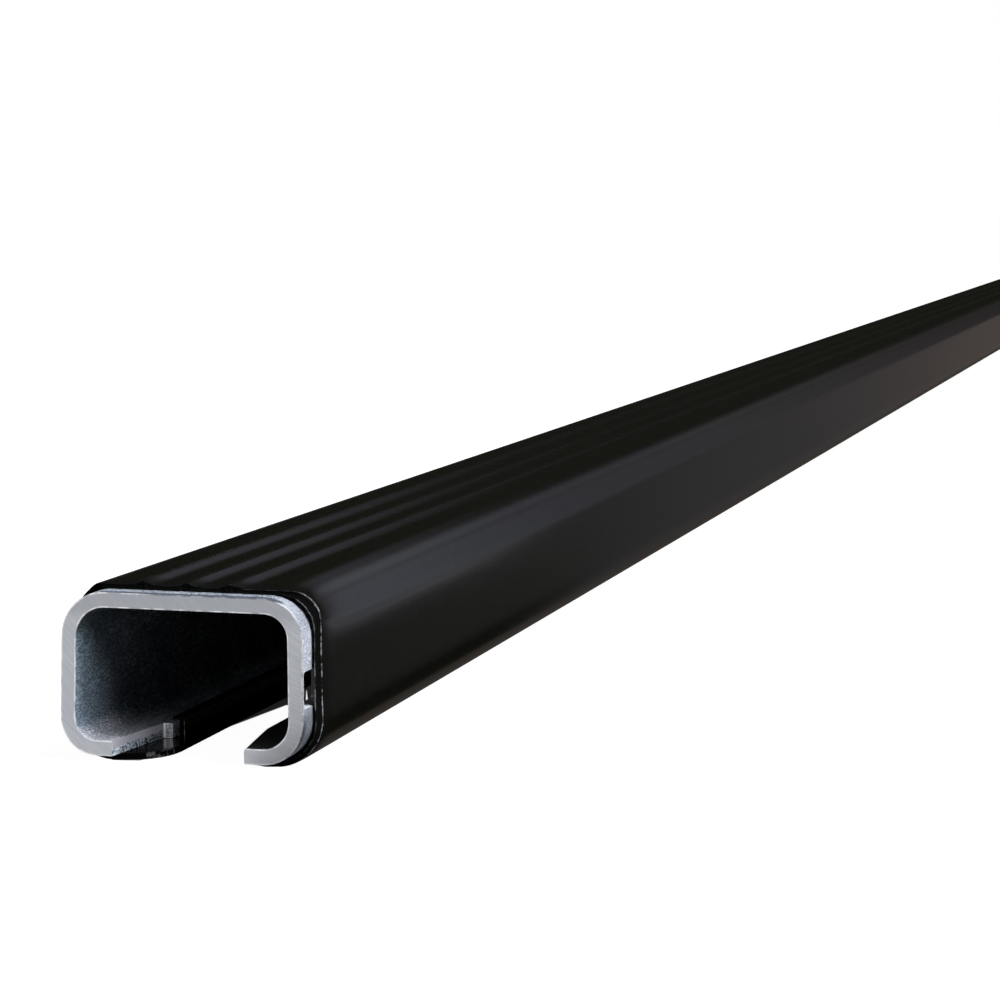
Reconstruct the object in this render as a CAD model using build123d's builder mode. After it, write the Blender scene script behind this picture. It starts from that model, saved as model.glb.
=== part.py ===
"""Roof rack crossbar: a roll-formed steel channel, open downwards, in an extruded plastic jacket.

X runs along the bar, Y across it and Z up. The origin lies under the middle of the bar, at the level of
the jacket's underside.
"""

import os

from build123d import *

os.makedirs("parts", exist_ok=True)

# Steel channel, in millimetres
bar_length = 1500.0
steel_width = 40.6
steel_height = 26.0
steel_gauge = 2.4
bend_inside_radius = 4.6

# Lips beside the slot: width from the channel's outer wall to the free edge
left_lip_width = 12.4
right_lip_width = 12.0

# Lead-ins at the bar's ends, where the lips are cut back: the left ends in a step, the right runs out
left_lead_length = 15.2
left_lead_mouth = 3.7
left_lead_step = 1.6
right_lead_length = 15.2
right_lead_mouth = 2.15

# Window in the right wall, close to each end
window_length = 9.9
window_height = 5.75
window_corner_radius = 0.6
window_bridge = 0.4
window_rise = 11.83

# Jacket: walls, inside corners that are tighter than the steel's bends, and the bare steel at each end
jacket_wall = 1.2
jacket_roof = 0.75
jacket_corner_ease = 0.4
jacket_setback = 3.4

# Ribs along the jacket's top
rib_count = 3
rib_pitch = 7.35
rib_width = 1.9
rib_height = 0.7
rib_root_radius = 5.5

# Flap under the left lip, and the bead that grips that lip's free edge
flap_reach = 3.1
flap_corner_radius = 8.0
bead_wall = 0.9
bead_hook = 1.2
bead_roof = 0.7
bead_round = 0.3
bead_setback = 2.8

# Edge of the jacket under the right lip: it thins out and stops short of the lip's free edge
edge_margin = 2.6
edge_taper = 1.6
edge_thickness = 0.6

# Sizes that follow from those above
bar_end = bar_length / 2
steel_wall = steel_width / 2
bend_outside_radius = bend_inside_radius + steel_gauge
steel_mid_height = jacket_wall + steel_height / 2
lip_top = jacket_wall + steel_gauge
left_lip_edge = steel_wall - left_lip_width
right_lip_edge = right_lip_width - steel_wall
window_place = bar_end - window_bridge - window_length / 2
window_level = jacket_wall + window_rise

jacket_end = bar_end - jacket_setback
jacket_width = steel_width + 2 * jacket_wall
jacket_height = jacket_wall + steel_height + jacket_roof
jacket_inside_radius = bend_outside_radius - jacket_corner_ease
rib_radius = (rib_width**2 / 4 + rib_height**2) / (2 * rib_height)
flap_edge = left_lip_edge - flap_reach
right_edge = right_lip_edge - edge_margin
bead_end = bar_end - left_lead_length - bead_setback


with BuildPart() as steel_channel:
    # The strip's section, bent at four corners and left open between the lips
    with BuildSketch(Plane.YZ.offset(-bar_end)):
        with Locations((0, steel_mid_height)):
            RectangleRounded(steel_width, steel_height, bend_outside_radius)
            RectangleRounded(
                steel_width - 2 * steel_gauge,
                steel_height - 2 * steel_gauge,
                bend_inside_radius,
                mode=Mode.SUBTRACT,
            )
        with Locations((right_lip_edge, jacket_wall)):
            Rectangle(left_lip_edge - right_lip_edge, steel_gauge, align=Align.MIN, mode=Mode.SUBTRACT)
    extrude(amount=bar_length)

    # Lead-ins: both lips flare open towards the bar's ends
    with BuildSketch(Plane.XY.offset(jacket_wall)):
        with BuildLine():
            Polyline(
                (-bar_end, left_lip_edge),
                (-bar_end, left_lip_edge + left_lead_mouth),
                (-bar_end + left_lead_length, left_lip_edge + left_lead_step),
                (-bar_end + left_lead_length, left_lip_edge),
                close=True,
            )
        make_face()
        with BuildLine():
            Polyline(
                (-bar_end, right_lip_edge),
                (-bar_end, right_lip_edge - right_lead_mouth),
                (-bar_end + right_lead_length, right_lip_edge),
                close=True,
            )
        make_face()
        mirror(about=Plane.YZ)
    extrude(amount=steel_gauge, mode=Mode.SUBTRACT)

    # Windows through the right wall
    with BuildSketch(Plane.XZ.offset(steel_wall - steel_gauge)):
        with Locations((-window_place, window_level), (window_place, window_level)):
            RectangleRounded(window_length, window_height, window_corner_radius)
    extrude(amount=steel_gauge, mode=Mode.SUBTRACT)

steel_channel.part.label = "steel_channel"
export_step(steel_channel.part, "parts/steel_channel.step")


with BuildPart() as plastic_jacket:
    # The sleeve's section: ribbed on top, tight on the steel's flats, open below between its two edges
    with BuildSketch(Plane.YZ.offset(-jacket_end)) as sleeve:
        with Locations((0, jacket_height / 2)):
            RectangleRounded(jacket_width, jacket_height, jacket_inside_radius + jacket_wall)
        with Locations((0, jacket_height + rib_height - rib_radius)):
            with GridLocations(rib_pitch, 0, rib_count, 1):
                Circle(rib_radius)
        fillet(sleeve.vertices(Select.LAST), rib_root_radius)
        with Locations((0, steel_mid_height)):
            RectangleRounded(steel_width, steel_height, jacket_inside_radius, mode=Mode.SUBTRACT)
        with Locations((right_edge, 0)):
            Rectangle(flap_edge - right_edge, jacket_wall, align=Align.MIN, mode=Mode.SUBTRACT)
        with BuildLine():
            Polyline(
                (right_edge, 0),
                (right_edge, jacket_wall - edge_thickness),
                (right_edge - edge_taper, 0),
                close=True,
            )
        make_face(mode=Mode.SUBTRACT)
    extrude(amount=2 * jacket_end)

    # The flap's corners are trimmed round
    with BuildSketch(Plane.XY):
        with Locations((-jacket_end, flap_edge)):
            Rectangle(flap_corner_radius, flap_corner_radius, align=Align.MIN)
        with Locations((-jacket_end + flap_corner_radius, flap_edge + flap_corner_radius)):
            Circle(flap_corner_radius, mode=Mode.SUBTRACT)
        mirror(about=Plane.YZ)
    extrude(amount=jacket_wall, mode=Mode.SUBTRACT)

    # The bead stands on the flap, covers the left lip's free edge and hooks over its top
    with BuildSketch(Plane.YZ.offset(-bead_end)):
        with BuildLine():
            Polyline(
                (left_lip_edge - bead_wall, 0),
                (left_lip_edge, 0),
                (left_lip_edge, lip_top),
                (left_lip_edge + bead_hook, lip_top),
                (left_lip_edge + bead_hook, lip_top + bead_roof),
                (left_lip_edge - bead_wall, lip_top + bead_roof),
                close=True,
            )
        bead = make_face()
        fillet(bead.vertices().group_by(Axis.Y)[-1], bead_round)
    extrude(amount=2 * bead_end)

plastic_jacket.part.label = "plastic_jacket"
export_step(plastic_jacket.part, "parts/plastic_jacket.step")
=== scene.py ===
"""Looks of the roof rack crossbar: a galvanised steel channel in a glossy black plastic jacket."""

import bpy
import numpy as np
from mathutils import Matrix


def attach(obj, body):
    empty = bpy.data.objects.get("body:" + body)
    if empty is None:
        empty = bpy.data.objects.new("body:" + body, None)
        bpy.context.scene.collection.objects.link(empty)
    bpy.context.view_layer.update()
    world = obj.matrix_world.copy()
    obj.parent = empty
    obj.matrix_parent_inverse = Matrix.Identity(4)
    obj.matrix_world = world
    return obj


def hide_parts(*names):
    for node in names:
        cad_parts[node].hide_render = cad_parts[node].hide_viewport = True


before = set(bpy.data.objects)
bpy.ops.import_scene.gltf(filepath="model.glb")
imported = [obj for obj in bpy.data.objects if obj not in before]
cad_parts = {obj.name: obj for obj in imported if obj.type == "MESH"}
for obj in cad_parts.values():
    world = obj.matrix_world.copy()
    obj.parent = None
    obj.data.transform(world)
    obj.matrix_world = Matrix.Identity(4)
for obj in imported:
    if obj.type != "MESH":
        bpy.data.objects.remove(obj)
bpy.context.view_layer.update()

# Steel channel
# One strip of galvanised steel, roll-formed into a C-section that is open below.
# It is sawn off square at its ends, where its lips are cut back as a lead-in, and a window is punched
# through its right wall near each end.

mm = 0.001
bar_end = 750.0
gauge = 2.5
bends = np.array([6.0, 7.4, 6.3, 6.9])
lip_under = 1.2
steel_half_width = 20.3
steel_top = 27.2
wall_lean = 0.45
left_lip_edge = 7.9
right_lip_edge = -8.3
lead_length = 15.2
left_mouth = 3.7
left_step = 1.6
right_mouth = 2.15
lip_roll = 0.55
lip_roll_height = 0.7
lip_roll_width = 1.6
lip_roll_fade = 9.0
window_heights = np.array([10.15, 15.9])
window_reach = np.array([0.4, 10.3])
window_corner = 0.6
edge_round = 0.13
burr_width = 0.24


def side_grids(cells):
    """Quads on the six sides of a block of cells, as rows of four corners (i, j, k).

    Each side is a grid over the two other indices in turn, wound so that it faces out of the block.
    """
    ring = np.array([[0, 0], [1, 0], [1, 1], [0, 1]])
    sides = []
    for axis in range(3):
        p, q = (axis + 1) % 3, (axis + 2) % 3
        grid = np.stack(np.meshgrid(np.arange(cells[p]), np.arange(cells[q]), indexing="ij"), -1)
        for place, winding in ((0, -1), (cells[axis], 1)):
            corners = np.zeros((cells[p] * cells[q], 4, 3), int)
            corners[..., axis] = place
            corners[..., [p, q]] = grid.reshape(-1, 1, 2) + ring[::winding]
            sides.append(corners)
    return np.concatenate(sides)


def on_sides(quads, axis, last):
    """Which quads lie on the two outer sides of a block across one of its axes."""
    return (quads[..., axis] == 0).all(1) | (quads[..., axis] == last).all(1)


def near_sides(quads, axis, last, rows):
    """Which quads lie within that many rows of a block's outer sides across one of its axes."""
    return (quads[..., axis].max(1) <= rows) | (quads[..., axis].min(1) >= last - rows)


def eased(point, low, high, radius):
    """Points on a box's sides, with the box's edges rounded.

    Each is the nearest point of the box shrunk by the radius, plus the radius along the way from there.
    """
    core = np.clip(point, low + radius, high - radius)
    away = point - core
    length = np.linalg.norm(away, axis=-1, keepdims=True)
    return core + away * (radius / np.maximum(length, 1e-9))


def leaned(y, z):
    """Sideways place of the section's points: the left wall leans in, smoothly from its foot to its top."""
    left = np.clip((y - 4) / 12, 0, 1)
    return y - wall_lean * left**2 * (3 - 2 * left) * np.clip((z - 7) / 13, 0, 1)


def piece_from_quads(name, quads, tags):
    """A mesh object from quads given by their corners in millimetres; corners that fall together are joined.

    Each tag is one number a quad, kept as a face attribute for the material.
    """
    corners = np.round(quads.reshape(-1, 3), 4)
    points, index = np.unique(corners, axis=0, return_inverse=True)
    mesh = bpy.data.meshes.new(name)
    mesh.from_pydata((points * mm).tolist(), [], index.reshape(-1, 4).tolist())
    for tag, values in tags.items():
        mesh.attributes.new(tag, "FLOAT", "FACE").data.foreach_set("value", values.astype(np.float32))
    mesh.shade_smooth()
    mesh.set_sharp_from_angle(angle=np.radians(32))
    piece = bpy.data.objects.new(name, mesh)
    bpy.context.scene.collection.objects.link(piece)
    return piece


# The strip's heading turns by a quarter at each of its four bends; its path is the running sum of the heading
arcs = bends * np.pi / 2
steel_height = steel_top - lip_under
strip_runs = np.array([
    steel_half_width - bends[0] - left_lip_edge, arcs[0], steel_height - bends[0] - bends[1], arcs[1],
    2 * steel_half_width - bends[1] - bends[2], arcs[2], steel_height - bends[2] - bends[3], arcs[3],
    steel_half_width - bends[3] + right_lip_edge])
strip_stops = np.concatenate([[0], np.cumsum(strip_runs)])
strip_length = strip_stops[-1]
heading_at_stops = np.radians([0, 0, 90, 90, 180, 180, 270, 270, 360, 360])
walk = np.linspace(-1, strip_length + 1, 40001)
walk_heading = np.interp(walk, strip_stops, heading_at_stops)
walk_step = walk[1] - walk[0]
mid_heading = (walk_heading[1:] + walk_heading[:-1]) / 2
walk_y = left_lip_edge - 1 + np.concatenate([[0], np.cumsum(np.cos(mid_heading))]) * walk_step
walk_z = lip_under + np.concatenate([[0], np.cumsum(np.sin(mid_heading))]) * walk_step

# Lines along the strip, through it, and along the bar
fine = np.array([0, 0.35 * edge_round, edge_round])
window_fine = np.array([0, 0.1, 0.3, window_corner])
window_lines = strip_stops[6] + steel_top - bends[2] - window_heights[::-1]
across = np.unique(np.round(np.concatenate([
    fine, np.linspace(0.8, strip_runs[0], 6),
    *[np.linspace(strip_stops[n], strip_stops[n + 1], 12) for n in (1, 3, 5, 7)],
    np.linspace(strip_stops[2], strip_stops[3], 7), np.linspace(strip_stops[4], strip_stops[5], 14),
    window_lines[0] + window_fine, window_lines[1] - window_fine,
    [strip_stops[6] + 1.5, window_lines.mean(), strip_stops[6] + 10.9],
    strip_stops[8] + np.linspace(0, strip_runs[8] - 0.6, 4), strip_length - fine]), 5))
edge_lines = np.append(fine, burr_width)
through = np.concatenate([edge_lines, [0.8, 1.4, 1.8, 2.1], gauge - edge_lines[::-1]])
reach_lines = np.unique(np.round(np.concatenate([
    fine, window_reach[0] + window_fine, window_reach[1] - window_fine,
    [2.4, 3.6, 5.2, 7, 8.6, 12, 13.6, 14.75, lead_length, lead_length + 0.01],
    [17, 20, 26, 36, 52, 80, 130, 210, 330, 500, bar_end]]), 5))
along = np.concatenate([-bar_end + reach_lines, bar_end - reach_lines[-2::-1]])

last_i, last_j, last_k = len(across) - 1, len(through) - 1, len(along) - 1
quads = side_grids((last_i, last_j, last_k))
skin = on_sides(quads, 1, last_j)

# The window is left out of both skins, and its four reveals join them
window_i = np.searchsorted(across, window_lines - 1e-4)
middle_i = quads[..., 0].mean(1)
middle_reach = bar_end - np.abs(along[quads[..., 2]].mean(1))
in_window = skin & (middle_i > window_i[0]) & (middle_i < window_i[1])
in_window &= (middle_reach > window_reach[0]) & (middle_reach < window_reach[1])
reveals = []
for start, stop in (window_reach - bar_end, bar_end - window_reach[::-1]):
    k0, k1 = np.searchsorted(along, np.array([start, stop]) - 1e-4)
    run_i = np.arange(window_i[0], window_i[1])
    run_k = np.arange(k0, k1)
    for k, turn in ((k0, 1), (k1, -1)):
        reveal = np.array([[(i, 0, k), (i + 1, 0, k), (i + 1, last_j, k), (i, last_j, k)] for i in run_i])
        reveals.append(reveal[:, ::turn])
    for i, turn in ((window_i[0], -1), (window_i[1], 1)):
        reveal = np.array([[(i, 0, k), (i, 0, k + 1), (i, last_j, k + 1), (i, last_j, k)] for k in run_k])
        reveals.append(reveal[:, ::turn])
reveals = np.concatenate(reveals)
quads = np.concatenate([quads[~in_window], reveals])

# Which faces are sawn, sheared, punched or inside, and which carry a burr or a painted glint
punched = np.arange(len(quads)) >= len(quads) - len(reveals)
sawn = on_sides(quads, 2, last_k)
sheared = on_sides(quads, 0, last_i)
inner_skin = (quads[..., 1] == last_j).all(1)
left_edge = (quads[..., 0] == 0).all(1)
middle_reach = bar_end - np.abs(along[quads[..., 2]].mean(1))
step = left_edge & (np.abs(middle_reach - lead_length) < 0.02)
# Painted highlight: the row just before the lead-in's step is tagged for a bright line
step_glint = left_edge & (np.abs(middle_reach - lead_length + 0.225) < 0.02)
end_burr_and_highlight = near_sides(quads, 2, last_k, 2) & ~sawn & ~punched
burr_and_glint = step_glint | ((sawn | step) & near_sides(quads, 1, last_j, 3)) | end_burr_and_highlight

# Corners in the strip's own coordinates: the lips are cut back at the ends, the right one's edge is rolled
i, j, k = np.moveaxis(quads, -1, 0)
reach = bar_end - np.abs(along[k])
left_flare = left_mouth - (left_mouth - left_step) * reach / lead_length
left_lead = np.where(reach < lead_length + 0.005, left_flare, 0)
right_lead = right_mouth * np.clip(1 - reach / lead_length, 0, None)
from_left, from_right = across[i], strip_length - across[i]
hold_left = np.clip((strip_runs[0] - from_left) / (strip_runs[0] - edge_round), 0, 1)
hold_right = np.clip((strip_runs[8] - from_right) / (strip_runs[8] - edge_round), 0, 1)
strip = np.stack([from_left + hold_left * left_lead - hold_right * right_lead, through[j], along[k]], -1)
strip_low = np.stack([left_lead, 0 * left_lead, 0 * left_lead - bar_end], -1)
strip_high = np.stack([strip_length - right_lead, 0 * left_lead + gauge, 0 * left_lead + bar_end], -1)
strip = eased(strip, strip_low, strip_high, edge_round)
lift = np.clip((strip[..., 1] - gauge + lip_roll_height) / lip_roll_height, 0, 1)
roll = lip_roll * (1 - np.sqrt(1 - lift**2)) * np.exp(-reach / lip_roll_fade)
strip[..., 0] -= roll * np.clip(1 - from_right / lip_roll_width, 0, 1)

# The window's corners are round
in_i = (i >= window_i[0]) & (i <= window_i[1])
window_middle = np.sign(strip[..., 2]) * (bar_end - window_reach.mean())
window_half = np.array([np.ptp(window_lines), np.ptp(window_reach)]) / 2
flat = np.stack([strip[..., 0] - window_lines.mean(), strip[..., 2] - window_middle], -1)
core = np.clip(flat, -window_half + window_corner, window_half - window_corner)
away = flat - core
span = np.linalg.norm(away, axis=-1, keepdims=True)
round_flat = core + away * np.minimum(1, window_corner / np.maximum(span, 1e-9))
on_rim = in_i & (np.abs(flat) < window_half + 1e-3).all(-1)
strip[..., 0] = np.where(on_rim, round_flat[..., 0] + window_lines.mean(), strip[..., 0])
strip[..., 2] = np.where(on_rim, round_flat[..., 1] + window_middle, strip[..., 2])

turn = np.interp(strip[..., 0], walk, walk_heading)
section_y = np.interp(strip[..., 0], walk, walk_y) - strip[..., 1] * np.sin(turn)
section_z = np.interp(strip[..., 0], walk, walk_z) + strip[..., 1] * np.cos(turn)
channel = piece_from_quads(
    "channel", np.stack([strip[..., 2], leaned(section_y, section_z), section_z], -1),
    {"sawn": sawn | step, "sheared": sheared & ~step, "punched": punched, "inner": inner_skin, "burr_and_glint": burr_and_glint})


class Wire:
    """One socket in a node tree. Operators on it add Math nodes, and node() adds any other node."""

    def __init__(self, tree, socket=None):
        self.tree, self.socket = tree, socket

    def node(self, kind, settings, inputs, output=0):
        """A node of that kind: its settings are made first, then its inputs set or linked."""
        made = self.tree.nodes.new(kind)
        for name, value in settings.items():
            setattr(made, name, value)
        for name, value in inputs.items():
            if isinstance(value, Wire):
                self.tree.links.new(value.socket, made.inputs[name])
            else:
                made.inputs[name].default_value = value
        return Wire(self.tree, made.outputs[output] if made.outputs else None)

    def math(self, operation, *values):
        """A Math node on values or numbers."""
        return self.node("ShaderNodeMath", {"operation": operation}, dict(enumerate(values)))

    def __add__(self, other):
        return self.math("ADD", self, other)

    def __sub__(self, other):
        return self.math("SUBTRACT", self, other)

    def __rsub__(self, other):
        return self.math("SUBTRACT", other, self)

    def __mul__(self, other):
        return self.math("MULTIPLY", self, other)

    __radd__, __rmul__ = __add__, __mul__

    def __abs__(self):
        return self.math("ABSOLUTE", self)

    def most(self, other):
        """The larger of this value and another."""
        return self.math("MAXIMUM", self, other)

    def mix(self, first, second):
        """Colour between two colours, by this value."""
        return self.node("ShaderNodeMix", {"data_type": "RGBA"}, {0: self, 6: first, 7: second}, 2)

    def smooth(self, low, high):
        """0 below low, 1 above high and smooth between."""
        settings = {"interpolation_type": "SMOOTHSTEP"}
        return self.node("ShaderNodeMapRange", settings, {0: self, 1: low, 2: high})

    def tag(self, name):
        """The number that the mesh's faces carry under a name."""
        return self.node("ShaderNodeAttribute", {"attribute_name": name}, {}, "Fac")

    def axis(self, name):
        """One coordinate of this place."""
        return self.node("ShaderNodeSeparateXYZ", {}, {"Vector": self}, name)

    def noise(self, size, detail=2.0, rough=0.5):
        """Noise from 0 to 1 over this place, with swells of about that size in millimetres each way."""
        scale = [s * mm for s in size]
        local = self.node("ShaderNodeMapping", {"vector_type": "TEXTURE"}, {"Vector": self, "Scale": scale})
        inputs = {"Vector": local, "Scale": 1.0, "Detail": detail, "Roughness": rough}
        return self.node("ShaderNodeTexNoise", {}, inputs)


def new_finish(name):
    """A material with an empty tree, the wire to start from and its Object coordinates."""
    material = bpy.data.materials.new(name)
    material.use_nodes = True
    material.node_tree.nodes.clear()
    wire = Wire(material.node_tree)
    return material, wire, wire.node("ShaderNodeTexCoord", {}, {}, "Object")


galvanised, wire, place = new_finish("galvanised_steel")
sideways = place.axis("Y")
height = place.axis("Z")
from_middle = abs(place.axis("X"))
sawn_mask = wire.tag("sawn")
sheared_mask = wire.tag("sheared")
inside = wire.tag("inner")
outside_right = (1 - inside) * (1 - sideways.smooth(-0.0165, -0.0150))

# Zinc skin: cloudy. Inside the ends it is painted lighter and bluer, and the lips' tops pale, as painted
# light; the right wall's outside is painted whiter towards the top as light, painted darker at its foot as
# shade, and is darker at its shoulder
clouds = place.noise((8, 6, 6), 3.0).smooth(0.3, 0.7)
painted_lit_zinc = clouds.mix((0.25, 0.335, 0.415, 1), (0.40, 0.52, 0.63, 1))
zinc = clouds.mix((0.30, 0.33, 0.38, 1), (0.48, 0.51, 0.57, 1))
# Painted light: inside the ends the zinc is painted lighter and bluer
zinc = (inside * from_middle.smooth(0.725, 0.745)).mix(zinc, painted_lit_zinc)
# Painted light: the right wall's outside is painted whiter towards its top
zinc = (outside_right * height.smooth(0.0150, 0.0165) * 0.55).mix(zinc, (0.74, 0.76, 0.86, 1))
# Painted shade: the right wall's outside is painted darker at its foot; it is also darker at its shoulder
foot_shade_and_dark_shoulder = (0.6 - 0.6 * height.smooth(0.0085, 0.0110)).most(0.45 * height.smooth(0.0205, 0.0235))
zinc = (outside_right * foot_shade_and_dark_shoulder).mix(zinc, (0.10, 0.11, 0.13, 1))
# Painted light: the lips' tops are painted pale near the ends
lip_top_painted_light = inside * (1 - height.smooth(0.0042, 0.0060)) * from_middle.smooth(0.722, 0.740)
zinc = (lip_top_painted_light * 0.8).mix(zinc, (0.92, 0.92, 1.0, 1))

# Dark grains a little under a millimetre long, and pits
grains = place.noise((0.75, 0.24, 0.24), 2.0, 0.6)
pits = place.noise((0.4, 0.15, 0.15), 1.0)
calm = (outside_right * 0.66).most(inside * 0.25 + lip_top_painted_light * 0.2)
zinc = grains.smooth(0.40, 0.60).most(calm).mix((0.08, 0.095, 0.125, 1), zinc)
zinc = pits.smooth(0.30, 0.42).mix((0.06, 0.07, 0.08, 1), zinc)

# Inside, the zinc is painted black as shade on the right and towards the roof
on_right = 1 - sideways.smooth(-0.008, -0.004)
by_roof = height.smooth(0.0185, 0.0235) * 0.75
zinc = (inside * on_right.most(by_roof)).mix(zinc, (0.012, 0.012, 0.012, 1))

# Sawn end: bare steel with fine marks, arcs about the saw blade's axle
axle_y = sideways + 0.045
axle_z = height - 0.070
arc_radius = wire.math("SQRT", axle_y * axle_y + axle_z * axle_z)
arc_turn = wire.math("ARCTAN2", axle_z, axle_y) * 0.07
saw_place = wire.node("ShaderNodeCombineXYZ", {}, {"X": arc_radius, "Y": arc_turn, "Z": place.axis("X")})
marks = saw_place.noise((0.17, 4, 4), 2.0, 0.6)
broad_marks = saw_place.noise((2.2, 8, 8), 2.0)
bare = marks.smooth(0.25, 0.75).mix((0.330, 0.338, 0.365, 1), (0.395, 0.405, 0.435, 1))
bare = (broad_marks.smooth(0.35, 0.7) * 0.4).mix(bare, (0.32, 0.33, 0.36, 1))
# Painted shade: the sawn end is painted darker towards its top
bare = (height.smooth(0.0225, 0.0250) * 0.5).mix(bare, (0.22, 0.225, 0.25, 1))

# Sheared edge: a smooth band above, broken and rough below
torn = 1 - (height + place.noise((1.4, 1.4, 1.4)) * 0.0008).smooth(0.0026, 0.0031)
crumbs = place.noise((0.45, 0.45, 0.38), 2.0, 0.7)
rough_band = crumbs.smooth(0.38, 0.64).mix((0.03, 0.035, 0.045, 1), (0.76, 0.84, 0.96, 1))
smooth_band = from_middle.smooth(0.737, 0.749).mix((0.85, 0.82, 0.92, 1), (0.46, 0.45, 0.50, 1))
edge_colour = torn.mix(smooth_band, rough_band)

# The lead-in's step is as rough as the sheared edge's lower band, with a painted highlight, a white line, at
# its outer side
rough_step = crumbs.smooth(0.36, 0.60).mix((0.10, 0.10, 0.12, 1), (0.44, 0.43, 0.50, 1))
rough_step = sideways.smooth(0.0091, 0.0092).mix(rough_step, (1, 1, 1, 1))
bare = from_middle.smooth(0.740, 0.745).mix(rough_step, bare)

# Painted shade and light in the punched window: its reveals are painted dark and its sill light. Thin lines
# along the sawn edges are painted bright, partly where the saw left a burr and partly as painted highlight
reveal = height.smooth(0.0102, 0.0106).mix((0.55, 0.56, 0.60, 1), (0.05, 0.05, 0.055, 1))
colour = wire.tag("punched").mix(sheared_mask.mix(zinc, edge_colour), reveal)
# Painted highlight: the burr lines are painted bright, partly the saw's burr and partly highlight; along the
# roof's edge they are dark
roof_edge = height.smooth(0.0264, 0.0268) * (1 - sideways.smooth(0.003, 0.008))
burr_and_highlight_colour = roof_edge.mix((0.62, 0.62, 0.63, 1), (0.10, 0.11, 0.13, 1))
shine = wire.tag("burr_and_glint") * place.noise((2, 2, 2), 2.0).smooth(0.35, 0.6)
colour = shine.mix(sawn_mask.mix(colour, bare), burr_and_highlight_colour)

# Darker bands on the zinc along the sawn edge: on the top, and low on the right
top_edge_dark = (from_middle + place.noise((1.5, 3, 3)) * 0.0005).smooth(0.7490, 0.7494)
top_edge_dark = top_edge_dark * height.smooth(0.0262, 0.0266) * (1 - sideways.smooth(0.012, 0.015))
low_edge_dark = (from_middle + place.noise((1.2, 1.2, 1.2)) * 0.0010).smooth(0.7490, 0.7495)
low_edge_dark = low_edge_dark * outside_right * (1 - height.smooth(0.0070, 0.0090))
colour = (top_edge_dark.most(low_edge_dark) * (1 - sawn_mask)).mix(colour, (0.05, 0.06, 0.085, 1))

relief = (grains * 0.6 + pits * 0.4) * (1 - sawn_mask)
relief = relief + marks * sawn_mask * 0.22 + crumbs * torn * sheared_mask
bump = wire.node("ShaderNodeBump", {}, {"Strength": 0.75, "Distance": 0.0002, "Height": relief}, "Normal")
steel = wire.node("ShaderNodeBsdfPrincipled", {}, {
    "Base Color": colour, "Roughness": 0.55 - 0.13 * sawn_mask, "Metallic": 0.25 + 0.6 * sawn_mask,
    "Specular IOR Level": 0.25, "Normal": bump})
wire.node("ShaderNodeOutputMaterial", {}, {"Surface": steel})
channel.data.materials.append(galvanised)
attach(channel, "root")
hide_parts("steel_channel")

# Plastic jacket
# One extruded sleeve of glossy black PVC, pushed over the steel and trimmed by hand short of its ends.
# Three low ribs run along its top, a bead grips the left lip's edge and a thin flap reaches into the slot.

jacket_side = 21.5
jacket_roof = 27.95
jacket_wall = 1.2
slack = 0.04
sleeve_setback = 3.4
sleeve_half = bar_end - sleeve_setback
flap_edge = 4.8
flap_corner = 8.0
flap_round = 8.2
right_edge = -10.9
right_edge_under = -12.3
right_edge_rise = 0.4
rib_centres = np.array([7.35, 0, -7.35])
rib_height = 0.697
rib_crown = 1.0
rib_root = 5.5
bead_faces = np.array([7.0, 7.9])
bead_inset = 0.16
bead_top = 4.3
bead_reach = 18.0
cut_stand_off = 0.42
cut_lift = 0.05
cut_fade = 4.0
wave_reach = 14.0

rib_foot = np.sqrt((rib_crown + rib_root) ** 2 - (rib_root + rib_crown - rib_height) ** 2)
rib_meet = rib_foot * rib_crown / (rib_crown + rib_root)


def rib_rise(y):
    """Height of the ribs over the jacket's roof: a round crown at each rib's middle, a hollow at its foot."""
    off = np.abs(y[:, None] - rib_centres).min(1)
    crown = rib_height - rib_crown + np.sqrt(rib_crown**2 - np.minimum(off, rib_meet) ** 2)
    foot = rib_root - np.sqrt(rib_root**2 - np.clip(rib_foot - np.maximum(off, rib_meet), 0, None) ** 2)
    return np.where(off < rib_meet, crown, foot)


bead_lines = bead_faces[0] + np.ptp(bead_faces) * np.array([0, bead_inset, 1])
flap_lines = np.array([flap_edge, flap_edge + 0.1, flap_edge + 0.35, 5.9, *bead_lines, 9.2, 10.8, 12.4])
half_rib = np.array([0.24, rib_meet, 0.65, 0.95, 1.4, 1.9, 2.4, rib_foot])
rib_lines = np.concatenate([-half_rib[::-1], [0], half_rib])
top_lines = (rib_centres[:, None] + rib_lines[::-1]).ravel()
right_lines = np.array([-13.3, right_edge_under, -12.0, -11.5, right_edge - 0.2, right_edge])
corner_count, wall_count = 16, 7


def contour(left, right, low, roof, radii, rise, lifted):
    """The sleeve's section from the flap's edge round to its right edge.

    It is a box with a radius a corner, from the low left on, open below, with the ribs' rise on its roof.
    """
    runs = [np.stack([flap_lines, 0 * flap_lines + low], -1)]
    middles = [(left - radii[0], low + radii[0]), (left - radii[1], roof - radii[1]),
               (right + radii[2], roof - radii[2]), (right + radii[3], low + radii[3])]
    for corner, (middle, radius) in enumerate(zip(middles, radii)):
        turn = np.radians(90 * corner - 90) + np.linspace(0, np.pi / 2, corner_count)
        runs.append(np.array(middle) + radius * np.stack([np.cos(turn), np.sin(turn)], -1))
        if corner == 1:
            runs.append(np.stack([top_lines, roof + rise], -1))
        elif corner == 3:
            runs.append(np.stack([right_lines, lifted], -1))
        else:
            side = left if corner == 0 else right
            heights = np.linspace(middle[1], middles[corner + 1][1], wall_count + 2)[1:-1]
            runs.append(np.stack([0 * heights + side, heights], -1))
    return np.concatenate(runs)


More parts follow.
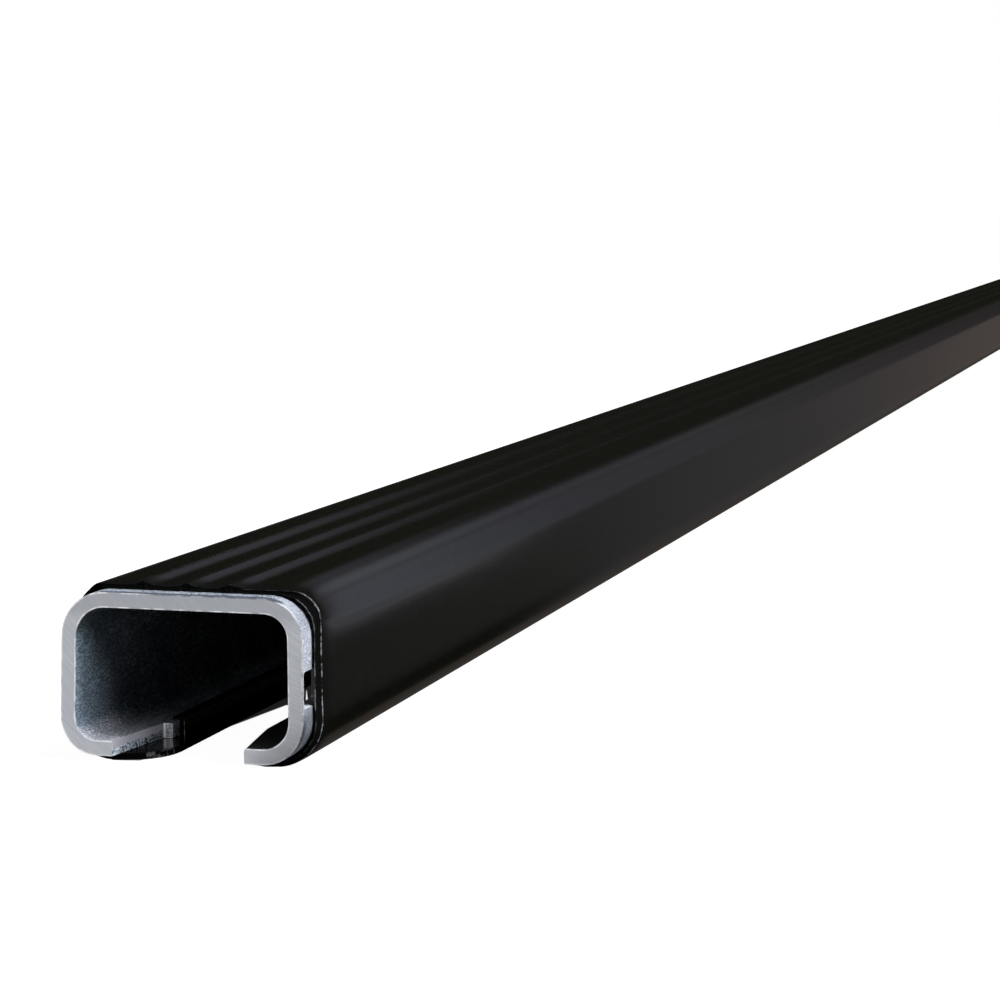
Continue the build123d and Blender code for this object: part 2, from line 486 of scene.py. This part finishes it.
# The section far from the ends, and at the cut, where it stands off the steel on the right
rise = rib_rise(top_lines)
thinned = np.interp(right_lines, [right_edge_under, right_edge], [0, right_edge_rise])
inner_low, inner_roof = jacket_wall - slack, steel_top + slack
inner_side = jacket_side - jacket_wall + slack
flat_roof = 0 * rise
flat_edge = 0 * right_lines + inner_low
outer = contour(jacket_side, -jacket_side, 0, jacket_roof, (flap_round, 7.0, 7.6, 7.4), rise, thinned)
outer_cut = contour(jacket_side, -jacket_side, 0, jacket_roof, (flap_round, 7.0, 4.4, 7.6), rise, thinned)
inner = contour(inner_side, -inner_side, inner_low, inner_roof, (5.6, 6.0, 5.9, 6.2), flat_roof, flat_edge)
inner_cut = contour(
    inner_side, -inner_side - cut_stand_off, inner_low, inner_roof + cut_lift, (5.6, 6.0, 5.4, 6.2),
    flat_roof, flat_edge)

# The cut edge waves: round the section go its distance from the bar's end, its rim's painted highlight and
# its bevel
run_lengths = [
    len(flap_lines), corner_count, wall_count, corner_count, len(top_lines), corner_count, wall_count,
    corner_count, len(right_lines)]
stops = np.cumsum([0, *run_lengths])
count = np.arange(len(outer))
upper_left = stops[3] + np.array([6, 8, 10, 11, 12, 14])
setback_stops = [*stops[:4], *upper_left, *stops[4:6], stops[5] + 9, *stops[6:]]
setback_values = [2.6, 3.0, 4.4, 6.6, 7.8, 7.9, 7.2, 6.5, 5.3, 3.8, 3.3, 3.2, 3.7, 3.9, 4.0, 3.8, 3.2]
setback = np.interp(count, setback_stops, setback_values)
setback += 0.06 * np.sin(count * 1.7) + 0.05 * np.sin(count * 0.61 + 1)
rim_stops = [*stops[:6], stops[5] + 6, *stops[6:]]
rim_highlight = np.interp(count, rim_stops, [0.5, 0.2, 0, 0, 0, 0.1, 0.8, 1, 1, 0.8, 0.4])
slant = np.interp(count, [stops[5], stops[5] + 9, *stops[6:]], [0.3, 1.1, 1.4, 1.6, 0.9, 0])

from_cut = np.array([
    0, 0.06, 0.2, 0.5, 1, 1.7, 2.5, 3.5, 4.7, 6, 8, 11, bead_reach - sleeve_setback, 19, 30, 50, 80,
    130, 210, 320, 480, sleeve_half])
sleeve_along = np.concatenate([from_cut, 2 * sleeve_half - from_cut[-2::-1]])
sleeve_near = np.minimum(sleeve_along, 2 * sleeve_half - sleeve_along)
layers = np.array([0, 0.12, 0.35, 0.65, 0.88, 1])
last_j, last_k = len(layers) - 1, len(sleeve_along) - 1
quads = side_grids((len(outer) - 1, last_j, last_k))
bead_i = np.searchsorted(flap_lines, bead_faces - 1e-4)
bead_k = np.searchsorted(from_cut, bead_reach - sleeve_setback - 1e-4)
under_bead = (quads[..., 1] == last_j).all(1)
under_bead &= (quads[..., 0].min(1) >= bead_i[0]) & (quads[..., 0].max(1) <= bead_i[1])
under_bead &= (quads[..., 2].min(1) >= bead_k) & (quads[..., 2].max(1) <= last_k - bead_k)
quads = quads[~under_bead]

# Which faces the knife cut, and which rims are painted pale, as fray and as painted highlight: at the ends,
# and on the flap's rounded corner
ends = on_sides(quads, 2, last_k)
flap_side = (quads[..., 0] == 0).all(1)
rim = (quads[..., 1].max(1) <= 1) + 0.5 * (quads[..., 1].min(1) >= last_j - 1)
rim = ends * rim * rim_highlight[quads[:, 0, 0]]
quad_near = sleeve_near[quads[..., 2]].mean(1)
rim += 0.7 * flap_side * (quad_near > 2) * (quad_near < 7)

# The sleeve between its outer and inner sections, with the flap's corner trimmed round and the cut edge waved
i, j, k = np.moveaxis(quads, -1, 0)
near = sleeve_near[k]
side = np.where(sleeve_along[k] < sleeve_half, -1, 1)
at_cut = np.exp(-near / cut_fade)
outside = outer[i] + (outer_cut - outer)[i] * at_cut[..., None]
inside = inner[i] + (inner_cut - inner)[i] * at_cut[..., None]
section = outside + (inside - outside) * layers[j][..., None]
flap_root = jacket_side - flap_round
trim = np.sqrt(np.maximum(flap_corner**2 - np.clip(flap_corner - near, 0, None) ** 2, 0))
trimmed_edge = flap_edge + flap_corner - trim
squeeze = np.where(i < len(flap_lines), (flap_root - trimmed_edge) / (flap_root - flap_edge), 1)
section_y = flap_root - (flap_root - section[..., 0]) * squeeze
frayed_out = np.array([0.1, 0.16, 0.02, 0, 0.05, 0.04])[j] * (near == 0)
frayed_out = frayed_out * (0.6 + 0.4 * np.sin(i * 2.3) * np.sin(i * 0.7))
bevel = slant[i] * (1 - layers[j]) * at_cut
waved = (setback[i] - sleeve_setback) * np.clip(1 - near / wave_reach, 0, 1) ** 2
x = side * (bar_end - near - sleeve_setback - waved + frayed_out - bevel)
sleeve_corners = np.stack([x, leaned(section_y, section[..., 1]), section[..., 1]], -1)

# The bead: a strip that stands on the flap and hooks over the lip; its foot replaces the flap's skin
over_lip = lip_under + gauge + slack
front = np.array([(7.0, inner_low), (7.0, 2.5), (7.0, 4.0), (7.09, 4.21), (7.3, bead_top), (8.2, bead_top),
                  (8.85, bead_top), (9.03, 4.23), (9.1, 4.0)])
back = np.array([(7.9, inner_low), (7.9, 2.4), (7.9, 3.2), (7.9, 3.45), (7.9, over_lip), (8.2, over_lip),
                 (8.85, over_lip), (9.03, over_lip), (9.1, over_lip)])
bead_along = sleeve_along[bead_k:last_k - bead_k + 1] - sleeve_half
quads = side_grids((len(front) - 1, 2, len(bead_along) - 1))
quads = quads[~(quads[..., 0] == 0).all(1), ::-1]
i, j, k = np.moveaxis(quads, -1, 0)
bead_section = front[i] + (back - front)[i] * np.array([0, bead_inset, 1])[j][..., None]
bead_corners = np.stack([bead_along[k], bead_section[..., 0], bead_section[..., 1]], -1)
bead_cut = on_sides(quads, 2, len(bead_along) - 1)
bead_rim = bead_cut & (quads[..., 1].max(1) == 1) & (quads[..., 0].max(1) < 5)
jacket = piece_from_quads("jacket", np.concatenate([sleeve_corners, bead_corners]), {
    "cut": np.concatenate([ends | flap_side, bead_cut]), "rim": np.concatenate([rim, bead_rim])})

# Gloss with fine chatter marks across the bar; the cut faces and a short scuffed run beside them are dull,
# and the cut's rims are painted pale, partly as fray and partly as painted highlight, brightest on the right
black_gloss, wire, place = new_finish("black_plastic")
chatter = place.noise((0.7, 16, 16), 2.0, 0.6)
swell = place.noise((25, 8, 8), 2.0)
dust = place.noise((1.1, 1.1, 1.1), 1.0)
body = dust.smooth(0.45, 0.75).mix((0.0013, 0.0013, 0.0009, 1), (0.0024, 0.0024, 0.0018, 1))
relief = chatter * 0.8 + swell * 1.6
bump = wire.node("ShaderNodeBump", {}, {"Strength": 0.25, "Distance": 0.00008, "Height": relief}, "Normal")
gloss = wire.node("ShaderNodeBsdfPrincipled", {}, {
    "Base Color": body, "Roughness": 0.13 + 0.07 * chatter, "Normal": bump})
fray_and_highlight = wire.tag("rim") * place.noise((1.2, 1.2, 1.2), 3.0, 0.75).smooth(0.40, 0.64)
dull = wire.node("ShaderNodeBsdfPrincipled", {}, {
    "Base Color": fray_and_highlight.mix((0.004, 0.004, 0.004, 1), (0.26, 0.26, 0.27, 1)), "Roughness": 0.7,
    "Specular IOR Level": 0.0})
scuffed = abs(place.axis("X")).smooth(0.739, 0.7455) * 0.85
plastic = wire.node("ShaderNodeMixShader", {}, {0: wire.tag("cut").most(scuffed), 1: gloss, 2: dull})
wire.node("ShaderNodeOutputMaterial", {}, {"Surface": plastic})
jacket.data.materials.append(black_gloss)
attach(jacket, "root")
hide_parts("plastic_jacket")

# Floor
# A white floor, which the camera, reflections and glass see at full white, and other light as dull paint.
# Beneath the bar a deep shadow is painted into the floor's glow; it leaves out a wedge by the right lip's
# lead-in and a thin gleam below the window.


def seen_white(wire):
    """1 for rays from the camera, from reflections and through glass, and 0 for other light."""
    kinds = ("Camera", "Glossy", "Transmission")
    rays = [wire.node("ShaderNodeLightPath", {}, {}, f"Is {kind} Ray") for kind in kinds]
    return rays[0].most(rays[1]).most(rays[2])


def board(name, corners, material):
    """A flat four-cornered board."""
    mesh = bpy.data.meshes.new(name)
    mesh.from_pydata(corners, [], [(0, 1, 2, 3)])
    mesh.materials.append(material)
    made = bpy.data.objects.new(name, mesh)
    bpy.context.scene.collection.objects.link(made)
    return made


pale, wire, place = new_finish("pale_floor")
lengthways = place.axis("X")
sideways = place.axis("Y")
past_wedge = (sideways + 0.127 * lengthways).smooth(-0.08665, -0.08615)
past_wedge = past_wedge.most(lengthways.smooth(-0.6985, -0.698))
from_gleam = abs(sideways - 0.378 * lengthways - 0.26244)
past_gleam = (from_gleam + 0.016 * (lengthways + 0.6985)).smooth(0.0002, 0.0003)
past_gleam = past_gleam.most(lengthways.smooth(-0.6848, -0.6844))
under_bar = lengthways.smooth(-0.7475, -0.7455) * (1 - lengthways.smooth(0.7455, 0.7475))
under_bar = under_bar * (1 - abs(sideways).smooth(0.0125, 0.0135))
# Painted shadow: beneath the bar the floor's glow is painted nearly black
shadow = under_bar * past_wedge * past_gleam
tone = abs(sideways).smooth(0.05, 0.25).mix((0.97, 0.97, 0.97, 1), (1, 1, 1, 1))
glow = wire.node("ShaderNodeEmission", {}, {"Color": shadow.mix(tone, (0.01, 0.01, 0.01, 1))})
faint = wire.node("ShaderNodeBsdfDiffuse", {}, {"Color": (0.2, 0.2, 0.2, 1)})
white = wire.node("ShaderNodeAddShader", {}, {0: faint, 1: glow})
paint = wire.node("ShaderNodeBsdfDiffuse", {}, {"Color": (0.12, 0.12, 0.12, 1)})
ground = wire.node("ShaderNodeMixShader", {}, {0: seen_white(wire), 1: paint, 2: white})
wire.node("ShaderNodeOutputMaterial", {}, {"Surface": ground})
board("floor", [(-6, -6, 0), (9, -6, 0), (9, 6, 0), (-6, 6, 0)], pale)

# Screens
# Grey boards that stand round the bar and just over the floor, and that only the gloss sees.
# They give the jacket its long highlights and keep the rest of it black.


def screen(name, corners, build):
    """A grey board that only reflections see; build gives its light from its Object coordinates."""
    material, wire, place = new_finish(name)
    glow = wire.node("ShaderNodeEmission", {}, {"Color": build(wire, place)})
    wire.node("ShaderNodeOutputMaterial", {}, {"Surface": glow})
    made = board(name, corners, material)
    for ray in ("camera", "diffuse", "transmission", "volume_scatter", "shadow"):
        setattr(made, "visible_" + ray, False)


def far_light(wire, place):
    """Light that grows away from the bar's line, most of all to the upper right, and is dark to the left.

    The clock is the angle about that line, from the right by the top. A dim seam crosses the light at 1.14.
    """
    y = place.axis("Y")
    z = place.axis("Z") - 0.05
    off = wire.math("SQRT", y * y + z * z)
    clock = wire.math("ARCTAN2", z, 0 - y)
    bright = 0.036 * off.smooth(0.12, 0.2) + 0.058 * off.smooth(0.30, 0.75) + 0.32 * off.smooth(0.97, 1.38)
    seam = clock.smooth(0.95, 1.12) * (1 - clock.smooth(1.16, 1.32))
    bright = bright * (1 - 0.24 * seam)
    fade = clock.smooth(1.45, 1.95) * (1 - 0.37 * off.smooth(1.0, 1.45))
    lit = (1 - clock.smooth(2.05, 2.5)) * (1 - fade)
    tint = off.smooth(0.4, 1.0).mix((1.08, 0.98, 0.95, 1), (0.92, 0.95, 1.14, 1))
    light = wire.node("ShaderNodeVectorMath", {"operation": "SCALE"}, {0: tint, "Scale": bright})
    return lit.mix((0.0095, 0.010, 0.0062, 1), light)


def floor_light(wire, place):
    """Light by its bearing from a place in front of the end: dark beside the end, warmer along the bar.

    Beside the end lie a dark band and a warm line next to the bar, and a bright fan further out.
    """
    off = abs(place.axis("Y"))
    bearing = wire.math("DIVIDE", off + 0.118, place.axis("X") + 1.123)
    tone = bearing.smooth(0.195, 0.355).mix((0.082, 0.077, 0.080, 1), (0.028, 0.029, 0.025, 1))
    tone = bearing.smooth(0.085, 0.175).mix((0.128, 0.104, 0.094, 1), tone)
    by_end = bearing.smooth(0.24, 0.30)
    tone = (by_end * (1 - off.smooth(0.048, 0.056))).mix(tone, (0.046, 0.047, 0.044, 1))
    tone = (by_end * (1 - off.smooth(0.030, 0.036))).mix(tone, (0.012, 0.013, 0.010, 1))
    tone = (1 - off.smooth(0.0214, 0.0224)).mix(tone, (0.070, 0.060, 0.053, 1))
    tone = off.smooth(0.0125, 0.0140).mix((0.004, 0.004, 0.003, 1), tone)
    fan = (0 - place.axis("Y")).smooth(0.0620, 0.0695) * bearing.smooth(0.275, 0.32)
    return fan.mix(tone, (0.235, 0.24, 0.265, 1))


def dark_card(wire, place):
    """Nearly black."""
    return (0.02, 0.02, 0.02, 1)


near_x = -0.745
far_x = 2.6
over_floor = 0.0002
floor_half = 3.4
screen("far_screen", [(far_x, -4, -0.05), (far_x, 8, -0.05), (far_x, 8, 6), (far_x, -4, 6)], far_light)
floor_corners = [(near_x, -floor_half), (far_x, -floor_half), (far_x, floor_half), (near_x, floor_half)]
screen("floor_screen", [(*corner, over_floor) for corner in floor_corners], floor_light)
card_foot = [(-2.4, -0.12), (-0.78, -1.7)]
card_low, card_high = -0.05, 1.8
side_corners = [(*corner, card_low) for corner in card_foot]
side_corners += [(*corner, card_high) for corner in card_foot[::-1]]
screen("side_card", side_corners, dark_card)
card_corners = [(-0.752, -0.010), *card_foot, (-0.752, -1.5)]
screen("floor_card", [(*corner, over_floor) for corner in card_corners], dark_card)

# Lamps, surround and camera
# Four soft lamps light the sawn end and the bar's length, and the surround is white where it is seen.
# The camera stands at the bar's sawn end, a little right of it, and looks along it and down.

world = bpy.data.worlds.new("surround")
bpy.context.scene.world = world
world.use_nodes = True
world.node_tree.nodes.clear()
wire = Wire(world.node_tree)
brightness = 0.03 + 0.97 * seen_white(wire)
sky = wire.node("ShaderNodeBackground", {}, {"Color": (1, 1, 1, 1), "Strength": brightness})
wire.node("ShaderNodeOutputWorld", {}, {"Surface": sky})


def turned(right, up, back, place):
    """A matrix from three axes and a place."""
    return Matrix([[*row, p] for row, p in zip(np.stack([right, up, back], -1), place)] + [[0, 0, 0, 1]])


def lamp(name, place, target, size, power, colour):
    """A soft rectangular lamp that faces its target."""
    data = bpy.data.lights.new(name, "AREA")
    data.shape = "RECTANGLE"
    data.size, data.size_y = size
    data.energy, data.color = power, colour
    made = bpy.data.objects.new(name, data)
    bpy.context.scene.collection.objects.link(made)
    back = np.array(place, float) - np.array(target, float)
    back /= np.linalg.norm(back)
    right = np.cross((0, 0, 1), back)
    right /= np.linalg.norm(right)
    made.matrix_world = turned(right, np.cross(back, right), back, place)


sawn_end = (-0.75, 0, 0.015)
lamp("side_lamp", (-0.99, -1.06, 0.5), sawn_end, (0.45, 0.45), 7.7, (0.96, 0.98, 1.0))
lamp("wall_lamp", (-0.75, -0.6, 1.0), sawn_end, (0.5, 0.5), 24, (0.96, 0.98, 1.0))
lamp("front_lamp", (-2.0, 0.2, 0.26), sawn_end, (0.5, 0.12), 2.0, (1.0, 1.0, 1.0))
lamp("top_lamp", (0.1, -0.5, 1.6), (0, 0, 0), (1.2, 1.2), 8, (0.97, 0.98, 1.0))

lens_pixels = 2650.0
image_pixels = 1000.0
sensor = 36.0
camera_place = (-1.123243, -0.160995, 0.088932)
yaw, pitch, roll = np.radians([16.3128, 6.6884, -0.32])
ahead = np.array([np.cos(pitch) * np.cos(yaw), np.cos(pitch) * np.sin(yaw), -np.sin(pitch)])
level = np.array([np.sin(yaw), -np.cos(yaw), 0])
upright = np.cross(level, ahead)
right = np.cos(roll) * level + np.sin(roll) * upright
up = np.cos(roll) * upright - np.sin(roll) * level
lens = bpy.data.cameras.new("camera")
lens.sensor_width = sensor
lens.lens = sensor * lens_pixels / image_pixels
lens.clip_start, lens.clip_end = 0.01, 50
camera = bpy.data.objects.new("camera", lens)
camera.matrix_world = turned(right, up, -ahead, camera_place)
bpy.context.scene.collection.objects.link(camera)
bpy.context.scene.camera = camera
bpy.context.scene.view_settings.view_transform = "Standard"
